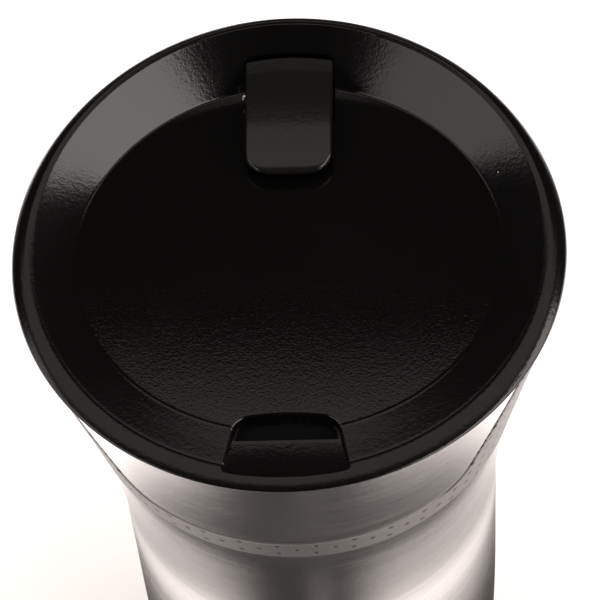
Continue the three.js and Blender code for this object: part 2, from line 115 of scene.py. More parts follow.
def rounded(points, radius=0.3, steps=3, closed=True):
    """Rounds every corner of a polyline; radius is one number or one for each point."""
    pts = [np.array(p, float) for p in points]
    radii = radius if isinstance(radius, (list, tuple)) else [radius] * len(pts)
    out = []
    n = len(pts)
    for i, p in enumerate(pts):
        if not closed and i in (0, n - 1) or radii[i] <= 0:
            out.append(p)
            continue
        a, b = pts[i - 1] - p, pts[(i + 1) % n] - p
        la, lb = np.linalg.norm(a), np.linalg.norm(b)
        t = min(radii[i], la * 0.48, lb * 0.48)
        p0, p2 = p + a / la * t, p + b / lb * t
        for k in range(steps + 1):
            s = k / steps
            out.append((1 - s) ** 2 * p0 + 2 * s * (1 - s) * p + s * s * p2)
    return out


def spin(profile, angles=None, count=160, closed=True, warp=None, keep=None):
    """Surface turned about Z from (r, z) points. Angle 0 is the front (-Y), 90 is +X."""
    if angles is None:
        angles = np.arange(count) / count * 2 * math.pi
    prof = np.array(profile, float)
    r, z = prof[:, 0][:, None], prof[:, 1][:, None]
    a = np.asarray(angles)[None, :]
    x, y = r * np.sin(a), -r * np.cos(a)
    zz = z + 0 * a
    if warp is not None:
        x, y, zz = warp(x, y, zz)
    verts = np.stack([x, y, zz], -1).reshape(-1, 3)
    m, n = len(prof), a.shape[1]
    rows = m if closed else m - 1
    i, j = np.meshgrid(np.arange(rows), np.arange(n), indexing="ij")
    i2, j2 = (i + 1) % m, (j + 1) % n
    quads = np.stack([i * n + j, i * n + j2, i2 * n + j2, i2 * n + j], -1).reshape(-1, 4)
    if keep is not None:
        ok = keep(x, y, zz).reshape(-1)
        quads = quads[ok[quads].all(1)]
    rf = np.repeat(prof[:, 0] < 1e-6, n)
    faces = []
    for q in quads.tolist():
        face = list(dict.fromkeys((v // n) * n if rf[v] else v for v in q))
        if len(face) > 2:
            faces.append(face)
    return verts, faces


def join(*parts):
    """Joins (verts, faces) pairs into one."""
    verts, faces, base = [], [], 0
    for v, f in parts:
        verts.append(np.asarray(v, float))
        faces += [[i + base for i in face] for face in f]
        base += len(v)
    return np.concatenate(verts), faces


def upright(x, y, z0, z1, r, edge=0.15, count=32):
    """Upright cylinder with rounded rims."""
    prof = rounded([(0, z0), (r, z0), (r, z1), (0, z1)], [0, edge, edge, 0], 3, closed=False)
    v, f = spin(prof, count=count, closed=False)
    return v + np.array([x, y, 0.0]), f


def crosswise(y, z, x0, x1, r, edge=0.12, count=28):
    """Cylinder along X with rounded rims."""
    v, f = upright(0, 0, x0, x1, r, edge, count)
    return np.stack([v[:, 2], y + v[:, 0], z + v[:, 1]], -1), f


def loops_solid(loops):
    """Closed solid through stacked loops of equal length, with capped ends."""
    n = len(loops[0])
    verts = np.concatenate([np.asarray(loop, float) for loop in loops])
    faces = []
    for k in range(len(loops) - 1):
        for i in range(n):
            j = (i + 1) % n
            faces.append([k * n + i, k * n + j, (k + 1) * n + j, (k + 1) * n + i])
    last = (len(loops) - 1) * n
    for base, turn in ((0, True), (last, False)):
        for i in range(n // 2 - 1):
            face = [base + i, base + i + 1, base + n - 2 - i, base + n - 1 - i]
            faces.append(face[::-1] if turn else face)
    return verts, faces


def round_rect(half, y0, y1, corner, inset=0.0, steps=8):
    """Points round a rounded rectangle, starting at the middle of its low-Y side."""
    c = [max(k - inset, 0.02) for k in corner]
    h, a, b = half - inset, y0 + inset, y1 - inset
    pts = []

    def arc(cx, cy, rad, start):
        for k in range(steps + 1):
            t = math.radians(start + 90 * k / steps)
            pts.append((cx + rad * math.cos(t), cy + rad * math.sin(t)))

    for k in range(5):
        pts.append((h * 0.8 * (k + 0.5) / 5 * (h - c[0]) / h, a))
    arc(h - c[0], a + c[0], c[0], -90)
    for k in range(1, 16):
        pts.append((h, a + c[0] + (b - c[1] - a - c[0]) * k / 16))
    arc(h - c[1], b - c[1], c[1], 0)
    for k in range(5):
        pts.append(((h - c[1]) * (1 - (k + 0.5) / 5) * 0.9, b))
    mirror = [(-x, y) for x, y in reversed(pts)]
    return pts + mirror


def smoothstep(e0, e1, v):
    t = np.clip((v - e0) / (e1 - e0), 0, 1)
    return t * t * (3 - 2 * t)


def soft_max(d1, d2, radius):
    """Outside distance of the meeting of two half planes, with a rounded corner."""
    a, b = d1 + radius, d2 + radius
    outer = np.sqrt(np.maximum(a, 0) ** 2 + np.maximum(b, 0) ** 2)
    return outer + np.minimum(np.maximum(a, b), 0) - radius


# ------------------------------------------------------------------ node helpers

class Nodes:
    """Small wrapper that builds a material's node tree."""

    def __init__(self, name):
        self.material = bpy.data.materials.new(name)
        self.material.use_nodes = True
        self.tree = self.material.node_tree
        self.shader = self.tree.nodes["Principled BSDF"]

    def put(self, kind, **values):
        node = self.tree.nodes.new(kind)
        for key, value in values.items():
            setattr(node, key, value)
        return node

    def feed(self, socket, value):
        if isinstance(value, bpy.types.NodeSocket):
            self.tree.links.new(value, socket)
        else:
            socket.default_value = value

    def math(self, operation, a, b=0.0, c=0.0, clamp=False):
        node = self.put("ShaderNodeMath", operation=operation, use_clamp=clamp)
        for socket, value in zip(node.inputs, (a, b, c)):
            self.feed(socket, value)
        return node.outputs[0]

    def place(self):
        node = self.put("ShaderNodeTexCoord")
        split = self.put("ShaderNodeSeparateXYZ")
        self.feed(split.inputs[0], node.outputs["Object"])
        return node.outputs["Object"], split.outputs

    def noise(self, vector, scale, detail=3.0, rough=0.5):
        node = self.put("ShaderNodeTexNoise")
        self.feed(node.inputs["Vector"], vector)
        node.inputs["Scale"].default_value = scale
        node.inputs["Detail"].default_value = detail
        node.inputs["Roughness"].default_value = rough
        return node.outputs[0]

    def remap(self, value, low, high, to_low, to_high, smooth=False):
        node = self.put("ShaderNodeMapRange")
        if smooth:
            node.interpolation_type = "SMOOTHSTEP"
        for index, number in enumerate((value, low, high, to_low, to_high)):
            self.feed(node.inputs[index], number)
        return node.outputs[0]

    def mix(self, factor, a, b):
        node = self.put("ShaderNodeMix", data_type="RGBA")
        self.feed(node.inputs[0], factor)
        self.feed(node.inputs[6], a)
        self.feed(node.inputs[7], b)
        return node.outputs[2]

    def vector(self, x, y, z):
        node = self.put("ShaderNodeCombineXYZ")
        for socket, value in zip(node.inputs, (x, y, z)):
            self.feed(socket, value)
        return node.outputs[0]

    def bump(self, height, distance, strength=1.0, after=None):
        node = self.put("ShaderNodeBump")
        self.feed(node.inputs["Height"], height)
        node.inputs["Distance"].default_value = distance
        node.inputs["Strength"].default_value = strength
        if after is not None:
            self.feed(node.inputs["Normal"], after)
        return node.outputs[0]

    def principled(self, **values):
        for key, value in values.items():
            self.feed(self.shader.inputs[key.replace("_", " ")], value)
        return self.material


def plastic(name, colour, rough, grain, dust):
    """Moulded black plastic: a fine grain, coarser and duller on the bowl's wall, and a little dust."""
    n = Nodes(name)
    place, axes = n.place()
    fine = n.noise(place, 2600, 2.0, 0.6)
    broad = n.noise(place, 1300, 2.0, 0.6)
    cloud = n.noise(place, 45, 3.0, 0.6)
    radius = n.math("SQRT", n.math("ADD", n.math("MULTIPLY", axes[0], axes[0]),
                                   n.math("MULTIPLY", axes[1], axes[1])))
    wall = n.remap(radius, 0.0333, 0.0341, 0.0, 1.0, smooth=True)
    first = n.bump(fine, 0.00005, grain)
    both = n.bump(broad, 0.00008, 1.0, first)
    n.feed(both.node.inputs["Strength"], n.remap(wall, 0.0, 1.0, grain * 0.6, grain * 2.2))
    cells = n.put("ShaderNodeTexVoronoi", feature="F1")
    n.feed(cells.inputs["Vector"], place)
    cells.inputs["Scale"].default_value = 210.0
    pick = n.put("ShaderNodeSeparateColor")
    n.feed(pick.inputs[0], cells.outputs["Color"])
    chosen = n.math("GREATER_THAN", pick.outputs[0], 1.0 - dust)
    size = n.math("MULTIPLY", pick.outputs[1], 0.024)
    near = n.math("LESS_THAN", cells.outputs["Distance"], n.math("ADD", size, 0.012))
    speck = n.math("MULTIPLY", chosen, near)
    base = n.mix(n.math("MULTIPLY", speck, 0.5), (*colour, 1), (0.55, 0.5, 0.46, 1))
    roughness = n.math("ADD", n.remap(cloud, 0.3, 0.7, rough - 0.02, rough + 0.03),
                       n.math("MULTIPLY", wall, 0.11))
    return n.principled(Base_Color=base, Roughness=roughness, Normal=both, IOR=1.5)


def steel(name, colour, rough, brush, turn=0.6):
    """Brushed steel: fine lines run round the body."""
    n = Nodes(name)
    _, axes = n.place()
    around = n.math("ARCTAN2", axes[0], n.math("MULTIPLY", axes[1], -1.0))
    lines = n.vector(n.math("MULTIPLY", around, 1.6), 0.0, n.math("MULTIPLY", axes[2], 4200.0))
    wide = n.vector(n.math("MULTIPLY", around, 0.5), 0.0, n.math("MULTIPLY", axes[2], 700.0))
    fine = n.noise(lines, 1.0, 4.0, 0.7)
    soft = n.noise(wide, 1.0, 3.0, 0.6)
    tone = n.remap(soft, 0.3, 0.7, 0.93, 1.04)
    groove = tuple(c * 0.8 for c in colour)
    shade = n.mix(n.remap(fine, 0.35, 0.65, 0.0, 0.3), (*colour, 1), (*groove, 1))
    scaled = n.put("ShaderNodeVectorMath", operation="SCALE")
    n.feed(scaled.inputs[0], shade)
    n.feed(scaled.inputs["Scale"], tone)
    roughness = n.remap(fine, 0.3, 0.7, rough - 0.05, rough + 0.06)
    normal = n.bump(fine, 0.00002, brush)
    tangent = n.put("ShaderNodeTangent", direction_type="RADIAL", axis="Z")
    return n.principled(Base_Color=scaled.outputs[0], Metallic=1.0, Roughness=roughness, Normal=normal,
                        Anisotropic=turn, Tangent=tangent.outputs[0])


def dotted_grip(name, colour):
    """Satin sleeve with staggered rows of small dimples, each painted dark inside as painted shade."""
    n = Nodes(name)
    place, axes = n.place()
    turn = n.math("ARCTAN2", axes[0], n.math("MULTIPLY", axes[1], -1.0))
    row = n.math("DIVIDE", n.math("SUBTRACT", axes[2], DOT_ROW_Z * 0.001), DOT_ROW_STEP * 0.001)
    index = n.math("ROUND", row)
    odd = n.math("FLOORED_MODULO", index, 2.0)
    column = n.math("ADD", n.math("MULTIPLY", turn, DOTS / (2 * math.pi)), n.math("MULTIPLY", odd, 0.5))
    across = n.math("SUBTRACT", column, n.math("ROUND", column))
    dx = n.math("MULTIPLY", across, 2 * math.pi * 38.5 / DOTS)
    dz = n.math("MULTIPLY", n.math("SUBTRACT", row, index), DOT_ROW_STEP)
    reach = n.math("SQRT", n.math("ADD", n.math("MULTIPLY", dx, dx), n.math("MULTIPLY", dz, dz)))
    inside = n.remap(reach, 0.36, 0.58, 1.0, 0.0, smooth=True)
    above = n.math("GREATER_THAN", axes[2], (DOT_ROW_Z - 1.5 * DOT_ROW_STEP) * 0.001)
    below = n.math("LESS_THAN", axes[2], 0.1893)
    dot = n.math("MULTIPLY", inside, n.math("MULTIPLY", above, below))
    grain = n.noise(place, 1500, 3.0, 0.6)
    # painted shade: the dimples' colour is darkened almost to black, as shade in their hollows
    base = n.mix(n.math("MULTIPLY", dot, 0.8), (*colour, 1), tuple(c * 0.08 for c in colour) + (1,))
    normal = n.bump(n.math("MULTIPLY", dot, -1.0), 0.0003, 1.0, n.bump(grain, 0.00004, 0.35))
    return n.principled(Base_Color=base, Metallic=0.85, Roughness=0.46, Normal=normal)


def plain(name, colour, rough, metal=0.0, grain=0.3, ior=1.5):
    """Even finish with a fine grain and slightly uneven gloss."""
    n = Nodes(name)
    place, _ = n.place()
    fine = n.noise(place, 1800, 3.0, 0.6)
    roughness = n.remap(n.noise(place, 60, 3.0, 0.5), 0.3, 0.7, rough - 0.04, rough + 0.05)
    return n.principled(Base_Color=(*colour, 1), Metallic=metal, Roughness=roughness, IOR=ior,
                        Normal=n.bump(fine, 0.00003, grain))


LID_BLACK = plastic("lid black plastic", (0.0014, 0.0013, 0.0012), 0.075, 0.16, 0.2)
LEVER_BLACK = plastic("lever black plastic", (0.004, 0.0037, 0.0035), 0.15, 0.18, 0.2)
BRUSHED = steel("brushed steel", (0.63, 0.605, 0.59), 0.21, 0.4)
BRIGHT = steel("turned bright steel", (0.7, 0.69, 0.68), 0.16, 0.12, 0.3)
GRIP = dotted_grip("dotted grip", (0.17, 0.162, 0.157))
SILICONE = plain("black silicone", (0.002, 0.0019, 0.0019), 0.75, ior=1.12)
COPPER = plain("copper foil", (0.72, 0.42, 0.27), 0.25, 1.0, 0.5)
CHROME = plain("polished pin", (0.75, 0.74, 0.73), 0.14, 1.0, 0.1)


# ------------------------------------------------------------------ steel body

def catmull(points, count):
    pts = [np.array(p, float) for p in points]
    out = []
    for t in np.linspace(0, len(pts) - 1, count):
        i = min(int(t), len(pts) - 2)
        s = t - i
        p0, p1, p2, p3 = (pts[min(max(k, 0), len(pts) - 1)] for k in (i - 1, i, i + 1, i + 2))
        v0, v1 = (p2 - p0) * 0.5, (p3 - p1) * 0.5
        out.append((2 * p1 - 2 * p2 + v0 + v1) * s ** 3 + (-3 * p1 + 3 * p2 - 2 * v0 - v1) * s * s
                   + v0 * s + p1)
    return np.array(out)


WALL = catmull(SECTIONS, 400)


def wall_radius(z):
    return np.interp(z, WALL[:, 1], WALL[:, 0])


def sleeve_depth(x, y, z):
    """Distance inside the sleeve's outline, negative outside it and in the window."""
    side = (np.abs(x) - (WINDOW_HALF + (z - WINDOW_Z) * WINDOW_FLARE)) / math.hypot(1, WINDOW_FLARE)
    window = soft_max(side, WINDOW_Z - z, WINDOW_CORNER)
    window = np.where(y < 0, window, 50.0)
    return np.minimum(window, np.minimum(z - SLEEVE_Z[0] + 0.3, SLEEVE_Z[1] + 0.3 - z))


def runs(*spans):
    """Rising numbers made of (start, end, step) spans."""
    out = [np.arange(a, b - step * 0.25, step) for a, b, step in spans]
    return np.concatenate([*out, [spans[-1][1]]])


def shell_warp(x, y, z):
    scale = 1 - 0.8 * smoothstep(0.0, 0.22, sleeve_depth(x, y, z)) / np.hypot(x, y)
    outer = np.hypot(x, y) > wall_radius(z) - 0.3
    scale = np.where(outer & (z > 150), scale, 1.0)
    return x * scale, y * scale, z


body_turns = np.radians(runs((0, 38, 1.25), (38, 56, 0.3), (56, 304, 1.55), (304, 322, 0.3),
                             (322, 360, 1.25))[:-1])
outer_z = runs((6, 150, 3), (150, 156.6, 0.6), (156.6, 158, 0.12), (158, 163.5, 0.5),
               (163.5, 169, 0.16), (169, 190, 0.42), (190, 191.2, 0.15))
outer_run = [(wall_radius(z), z) for z in outer_z]
foot_turn = rounded([(31.6, 3.4), (33.2, 3.4), (34.3, 6.0)], [0, 1.6, 0], 5, closed=False)
inner_run = [(wall_radius(z) - 1.3 + 0.5 * (z < 152), z) for z in runs((6, 188, 4))][::-1]
shell_profile = (foot_turn[:-1] + outer_run
                 + rounded([(42.45, 191.2), (42.5, 191.6), (41.0, 191.6), (41.0, 190.2)],
                           [0, 0.25, 0.25, 0], 3, closed=False)
                 + inner_run + [(31.6, 4.2)])
mesh("shell_steel", *spin(shell_profile, body_turns, warp=shell_warp), BRUSHED, "mug_body",
     ["outer_shell"], "brushed_shell", 30)


def sleeve_warp(x, y, z):
    r = np.hypot(x, y)
    t = np.clip((sleeve_depth(x, y, z) - 0.3) / 0.4, 0, 1)
    lift = -0.5 + (0.5 + SLEEVE_OUT) * np.sqrt(1 - (1 - t) ** 2)
    return x * (r + lift) / r, y * (r + lift) / r, z


sleeve_z = runs((157.2, 158.4, 0.1), (158.4, 163.5, 0.5), (163.5, 169, 0.14), (169, 189.6, 0.42),
                (189.6, 190.8, 0.1))
mesh("sleeve_grip", *spin([(wall_radius(z), z) for z in sleeve_z], body_turns, closed=False,
                          warp=sleeve_warp, keep=lambda x, y, z: sleeve_depth(x, y, z) > 0.12),
     GRIP, "mug_body", ["grip_sleeve"], "grip_grey", 60)

# inner cup, smooth inside, with its flange under the lid's rim
CUP_WALL = 0.7
cup_keys = [(31.4, 24), (31.4, 72), (30.7, 110), (30.4, 128), (31.7, 149), (34.2, 163), (37.1, 174.8),
            (38.2, 181)]
cup_side = [p for p in catmull(cup_keys, 60)]
cup_floor = rounded([(0, 8.2), (25, 8.2), (30.2, 10.0), (31.4, 24)], [0, 6, 6, 0], 8, closed=False)
cup_inside = cup_floor[:-1] + cup_side + rounded(
    [(38.2, 182), (38.2, 191.7), (40.7, 191.7)], [0, 0.5, 0], 4, closed=False)
cup_out = [(40.7, 191.0), (38.9, 191.0), (38.9, 181.0)] + [(r + CUP_WALL, z) for r, z in cup_side[::-1]]
cup_out += [(30.9, 9.6), (25, 7.5), (0, 7.5)]
mesh("cup_steel", *spin(cup_inside + cup_out, count=200, closed=False), BRIGHT, "mug_body",
     ["inner_cup"], "bright_steel", 40)

mesh("base_steel", *spin(rounded(
    [(0, 4.9), (4.4, 4.9), (6.4, 4.2), (29.1, 4.2), (29.1, 5.0), (31.4, 5.0), (31.4, 4.2), (29.9, 4.2),
     (29.9, 3.4), (6, 3.4), (4, 4.2), (0, 4.2)],
    [0, 1, 1, 0.3, 0.2, 0.2, 0.2, 0.2, 0.3, 1, 1, 0], 3, closed=False), count=160, closed=False),
    BRUSHED, "mug_body", ["base_plate"], "brushed_shell")
mesh("foot_rubber", *spin(rounded(
    [(25.5, 0.4), (26.2, 0), (32.0, 0), (33.1, 0.9), (33.3, 3.1), (25.5, 3.1)], 0.35, 4), count=200),
    SILICONE, "mug_body", ["foot_ring"], "silicone")
for node, finish in (("heat_foil", COPPER), ("getter", CHROME)):
    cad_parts[node].data.materials.clear()
    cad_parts[node].data.materials.append(finish)


# ------------------------------------------------------------------ lid

def crest_rise(y):
    """Height of the crest over its height at the sides: it climbs towards the lever."""
    return 0.066 * y + 0.0005 * y * y


def lid_lean(x, y, z):
    """How far the lid's top is tipped, so that the floor runs straight into the rim in front."""
    r = np.maximum(np.hypot(x, y), 1.0)
    across = np.clip((r - FLOOR_EDGE) / (CREST_R - FLOOR_EDGE), 0, 1)
    sink = -FLOOR_SLOPE * y * np.minimum(1, FLOOR_EDGE / r)
    rise = crest_rise(y * CREST_R / np.maximum(r, FLOOR_EDGE))
    height = np.where(r > CREST_R, np.clip((z - LID_Z) / (CREST_Z - LID_Z), 0, 1), 1.0)
    return (sink + (rise - sink) * across) * height


def sip_edge(x, y):
    """Signed distance to the drink opening's outline, negative inside."""
    side = np.abs(x) - (7.35 + 0.19 * (-29.9 - y))
    rear = y - (-30.35 - 0.75 * (x / 7.4) ** 2)
    front = (-41.15 + 1.5 * (x / 9.2) ** 2) - y
    return soft_max(soft_max(side * 0.98, rear, 1.7), front, 0.45)


HOLE_FRONT = -34.5
LEDGE_Z = 192.0
HOLE_BOTTOM = 188.9
SIP_REACH_R = 42.6  # the drink opening is cut no further out than this
CHAMFER = 0.34  # width of the bevel along the drink opening
CHAMFER_DEPTH = 0.26
DROP = 0.24  # width over which a cut wall falls


def hole_edge(x, y):
    """Signed distance to the hole at the rear of the drink opening, negative inside."""
    return soft_max(sip_edge(x, y), HOLE_FRONT - y, 0.7)


def well_edge(x, y):
    """Signed distance to the outline of the lever's well, negative inside."""
    return soft_max(soft_max(np.abs(x) - 7.4, 25.6 - y, 0.6), np.hypot(x, y) - 37.0, 0.6)


def settle(x, y, edge, level, reach=0.085):
    """Moves the points that lie near a level of an outline's distance exactly onto it."""
    d = edge(x, y) - level
    h = 0.01
    gx = (edge(x + h, y) - edge(x - h, y)) / (2 * h)
    gy = (edge(x, y + h) - edge(x, y - h)) / (2 * h)
    move = np.where(np.abs(d) < reach, d / np.maximum(gx * gx + gy * gy, 0.3), 0.0)
    return x - gx * move, y - gy * move


def lid_top(x, y, z):
    for edge, levels in ((sip_edge, (CHAMFER, 0.0)), (hole_edge, (0.0, -DROP)), (well_edge, (0.0, -DROP))):
        for level in levels:
            x, y = settle(x, y, edge, level)
    z = z + lid_lean(x, y, z)
    r = np.hypot(x, y)
    d = sip_edge(x, y)
    ahead = np.maximum(HOLE_FRONT - 0.5 - y, 0.0)
    ledge = LEDGE_Z + 0.06 * ahead + 0.015 * ahead ** 2
    chamfer = CHAMFER_DEPTH * np.clip(1 - d / CHAMFER, 0, 1) ** 1.5 * smoothstep(-40.8, -39.6, y)
    z = np.where((r < SIP_REACH_R) & (d < CHAMFER), z - chamfer, z)
    cut = smoothstep(0.01, -0.22, d)
    z = np.where(r < SIP_REACH_R, z + (np.minimum(ledge, z) - z) * cut, z)
    cut = smoothstep(-0.01, -0.23, hole_edge(x, y))
    z = z + (HOLE_BOTTOM - z) * cut
    cut = smoothstep(-0.01, -0.23, well_edge(x, y))
    z = z + (np.minimum(WELL_Z, z) - z) * cut
    return x, y, z


def outside_hole(x, y, z):
    return ~(hole_edge(x, y) < -0.5)


lid_turns = np.radians(runs((0, 17.5, 0.25), (17.5, 160.5, 1.1), (160.5, 199.5, 0.25),
                            (199.5, 342.5, 1.1), (342.5, 360, 0.25))[:-1])
TOP_KEYS = [(0, FLOOR_Z), (FLOOR_EDGE, FLOOR_Z), (37.0, 192.95), (39.75, 194.6), (40.5, 194.85),
            (42.0, 194.3), (43.0, 193.35), (43.2, 192.6), (42.9, LID_Z), (37.9, LID_Z)]
top_line = np.array(rounded(TOP_KEYS, [0, 0.35, 2.0, 0.5, 0.5, 1.2, 0.9, 0.5, 0.25, 0], 5, closed=False))
WALL_FROM = 33.0
WALL_TO = 42.2
RISING = 34  # points of top_line from the axis out to past WALL_TO
RIM_FROM = 20  # first point of top_line that can belong to the rim
flat = runs((0, 24, 4), (24, 27, 0.25), (27, WALL_FROM, 0.16))
wall = runs((WALL_FROM, WALL_TO, 0.14))
wall_z = np.interp(wall, top_line[:RISING, 0], top_line[:RISING, 1])
top_profile = [(r, FLOOR_Z) for r in flat[:-1]] + list(zip(wall, wall_z))
top_profile += [tuple(p) for p in top_line[RIM_FROM:] if p[0] > WALL_TO + 0.05 or p[1] < LID_Z + 0.2]
top_v, top_f = spin(top_profile, lid_turns, closed=False, warp=lid_top, keep=outside_hole)

under_profile = rounded(
    [(PLUG_R, LID_Z), (PLUG_R, GROOVE_Z[1]), (GROOVE_R, GROOVE_Z[1]), (GROOVE_R, GROOVE_Z[0]),
     (37.0, GROOVE_Z[0]), (37.0, 179.6), (PLUG_LOW_R, 178.6), (PLUG_LOW_R, PLUG_Z),
     (PLUG_BORE_R, PLUG_Z), (PLUG_BORE_R, FLOOR_Z - FLOOR_WALL)],
    [0, 0.2, 0.2, 0.2, 0.2, 0.5, 0.5, 0.4, 0.3, 0], 3, closed=False)
under_profile += [(r, FLOOR_Z - FLOOR_WALL) for r in runs((28, 34.9, 0.16))[::-1]] + [(0, 189.0)]


def lid_under(x, y, z):
    tip = (np.hypot(x, y) < PLUG_BORE_R + 0.1) & (z > PLUG_Z + 8)
    return x, y, z - np.where(tip, FLOOR_SLOPE * y, 0.0)


under_v, under_f = spin(under_profile, lid_turns, closed=False, warp=lid_under, keep=outside_hole)


def block(x, y0, y1, z0, z1, half, edge=0.3):
    """Small block with rounded upright edges, standing at x."""
    rows = [(z0, edge), (z0 + edge * 0.4, edge * 0.3), (z0 + edge, 0), (z1 - edge, 0),
            (z1 - edge * 0.4, edge * 0.3), (z1, edge)]
    loops = []
    for z, inset in rows:
        pts = round_rect(half, y0, y1, (edge * 1.5, edge * 1.5), inset, 4)
        loops.append([(x + px, py, z) for px, py in pts])
    return loops_solid(loops)


lid_parts = [(top_v, top_f), (under_v, under_f), block(0, 28.2, 32.6, WELL_Z - 0.3, 192.15, 2.5)]
for side in (-1, 1):
    lid_parts.append(block(side * 5.4, 28.7, 33.0, 182.3, 188.0, 1.0))
for bx, by in BOSSES:
    lid_parts.append(upright(bx, by, COVER_Z[1] + 0.3, 188.4 - FLOOR_SLOPE * by, 2.8))
mesh("lid_plastic", *join(*lid_parts), LID_BLACK, "lid", ["lid_shell"], "lid_black", 42)


def fin(z):
    return [(37.3, z - 0.9), (37.9, z), (37.3, z + 0.3)]


mesh("gasket_silicone", *spin(rounded(
    [(36.5, 182.3), (37.3, 182.3), *fin(183.9), *fin(186.2), (37.3, 187.1), (36.5, 187.1)], 0.12, 3),
    count=200), SILICONE, "lid", ["lid_gasket"], "silicone", 60)


# cover plate: a disc with the drink port, an air hole and four screw holes
def cover_plate():
    v, f = spin(rounded([(0, COVER_Z[0]), (34.9, COVER_Z[0]), (34.9, COVER_Z[1]), (0, COVER_Z[1])],
                        [0, 0.3, 0.3, 0], 3, closed=False), count=160, closed=False)
    piece = mesh("cover_plastic", v, f, LID_BLACK, "lid", ["inner_cover"], "lid_black")
    cuts = [block(0, -33, -26, 174, 180, 8.0, 0.5), upright(0, 25, 174, 180, 2.5)]
    cuts += [upright(x, y, 174, 180, 1.35) for x, y in BOSSES]
    data = bpy.data.meshes.new("cuts")
    cv, cf = join(*cuts)
    data.from_pydata((cv * 0.001).tolist(), [], cf)
    cutter = bpy.data.objects.new("cuts", data)
    bpy.context.scene.collection.objects.link(cutter)
    modifier = piece.modifiers.new("cuts", "BOOLEAN")
    modifier.operation, modifier.object, modifier.solver = "DIFFERENCE", cutter, "EXACT"
    bpy.context.view_layer.update()
    evaluated = piece.evaluated_get(bpy.context.evaluated_depsgraph_get())
    made = bpy.data.meshes.new_from_object(evaluated)
    piece.modifiers.clear()
    piece.data = made
    made.set_sharp_from_angle(angle=math.radians(38))
    bpy.data.objects.remove(cutter)


cover_plate()
mesh("cover_peg", *upright(0, SPRING_Y, 177.7, 180.0, 2.2), LID_BLACK, "lid", slot="lid_black")
for i, (bx, by) in enumerate(BOSSES):
    head = spin(rounded([(0, 175.3), (0.9, 175.3), (1.1, 174.9), (2.2, 175.1), (2.2, 176.0), (1.0, 176.0),
                         (1.0, 185.4), (0, 185.4)], [0, 0.1, 0.1, 0.4, 0.1, 0, 0.3, 0], 3, closed=False),
                count=32, closed=False)
    mesh(f"screw_{i + 1}", head[0] + np.array([bx, by, 0.0]), head[1], CHROME, "lid",
         [f"cover_screw_{i + 1}"], "bright_steel")

ring_z = FLOOR_Z - FLOOR_SLOPE * PLUNGER_Y - FLOOR_WALL - 0.4
ring_v, ring_f = spin(rounded([(1.9, ring_z - 1), (3.0, ring_z - 1), (3.0, ring_z), (1.9, ring_z)], 0.3, 4),
                      count=40)
mesh("ring_silicone", ring_v + np.array([0, PLUNGER_Y, 0.0]), ring_f, SILICONE, "lid", ["plunger_ring"],
     "silicone")
mesh("pin_of_lever", *crosswise(PIVOT[0], PIVOT[1], -7.75, 7.0, PIN_R), CHROME, "lid", ["lever_pin"],
     "bright_steel")
mesh("pin_of_arm", *crosswise(ARM_PIVOT[0], ARM_PIVOT[1], -6.4, 6.4, 1.0), CHROME, "lid", ["arm_pin"],
     "bright_steel")

# coil spring
turns = np.linspace(0, 4, 220)
ring = np.linspace(0, 2 * math.pi, 12, endpoint=False)
spring_v = []
for t in turns:
    a = t * 2 * math.pi
    centre = np.array([3.2 * math.cos(a), SPRING_Y + 3.2 * math.sin(a), 178.6 + 5.65 * t / 4])
    out = np.array([math.cos(a), math.sin(a), 0.0])
    spring_v += [centre + 0.3 * (out * math.cos(b) + np.array([0, 0, math.sin(b)])) for b in ring]
spring_f = []
for k in range(len(turns) - 1):
    for i in range(12):
        j = (i + 1) % 12
        spring_f.append([k * 12 + i, k * 12 + j, (k + 1) * 12 + j, (k + 1) * 12 + i])
spring_f += [list(range(11, -1, -1)), [(len(turns) - 1) * 12 + i for i in range(12)]]


# ------------------------------------------------------------------ lever

def tab_height(y):
    """Top of the lever: a flat rear, then a thumb rest that falls gently to the front."""
    keys_y = [12.0, 13.7, 14.5, 15.4, 17.0, 20.0, 22.6, 24.2, 26.0, 40.0]
    drop = [1.9, 1.15, 0.8, 0.53, 0.36, 0.2, 0.06, 0.03, 0.0, 0.0]
    return TAB_TOP - np.interp(y, keys_y, drop)


def tab_loops():
    edge = 0.45
    corner = (4.1, 0.5)
    loops = []
    for z, inset in ((0.0, 0.35), (0.1, 0.1), (0.3, 0.0)):
        pts = round_rect(TAB_HALF, TAB_FRONT, TAB_REAR, corner, inset)
        loops.append([(x, y, tab_under(y) + z) for x, y in pts])
    for k in range(7):
        a = math.radians(90 * k / 6)
        inset = edge * (1 - math.cos(a))
        pts = round_rect(TAB_HALF, TAB_FRONT, TAB_REAR, corner, inset)
        loops.append([(x, y, tab_height(y) - edge * (1 - math.sin(a))) for x, y in pts])
    for inset in (0.8, 1.4, 2.2):
        pts = round_rect(TAB_HALF, TAB_FRONT, TAB_REAR, corner, inset)
        loops.append([(x, y, tab_height(y)) for x, y in pts])
    bowed = []
    for loop in loops:
        bowed.append([(x * (1 + 0.02 * (y - 25) / 12 * (y > 13)), y - 0.9 * (x / 7.1) ** 2
                       * np.clip((y - 30) / 6.6, 0, 1), z) for x, y, z in loop])
    return bowed


def tab_under(y):
    return np.interp(y, [12.5, 24.6, 27.1, 38], [192.2, 191.3, 189.15, 189.05])


mesh("tab_plastic", *loops_solid(tab_loops()), LEVER_BLACK, "lever", ["lever_tab"], "lever_black", 50)
mesh("plunger_pin", *upright(0, PLUNGER_Y, 186.6, 191.7, 1.6), LID_BLACK, "plunger", ["plunger"],
     "lid_black")


# ------------------------------------------------------------------ seal arm and seal

def leaned(part):
    v, f = part
    v = np.array(v, float)
    v[:, 2] -= FLOOR_SLOPE * v[:, 1]
    return v, f


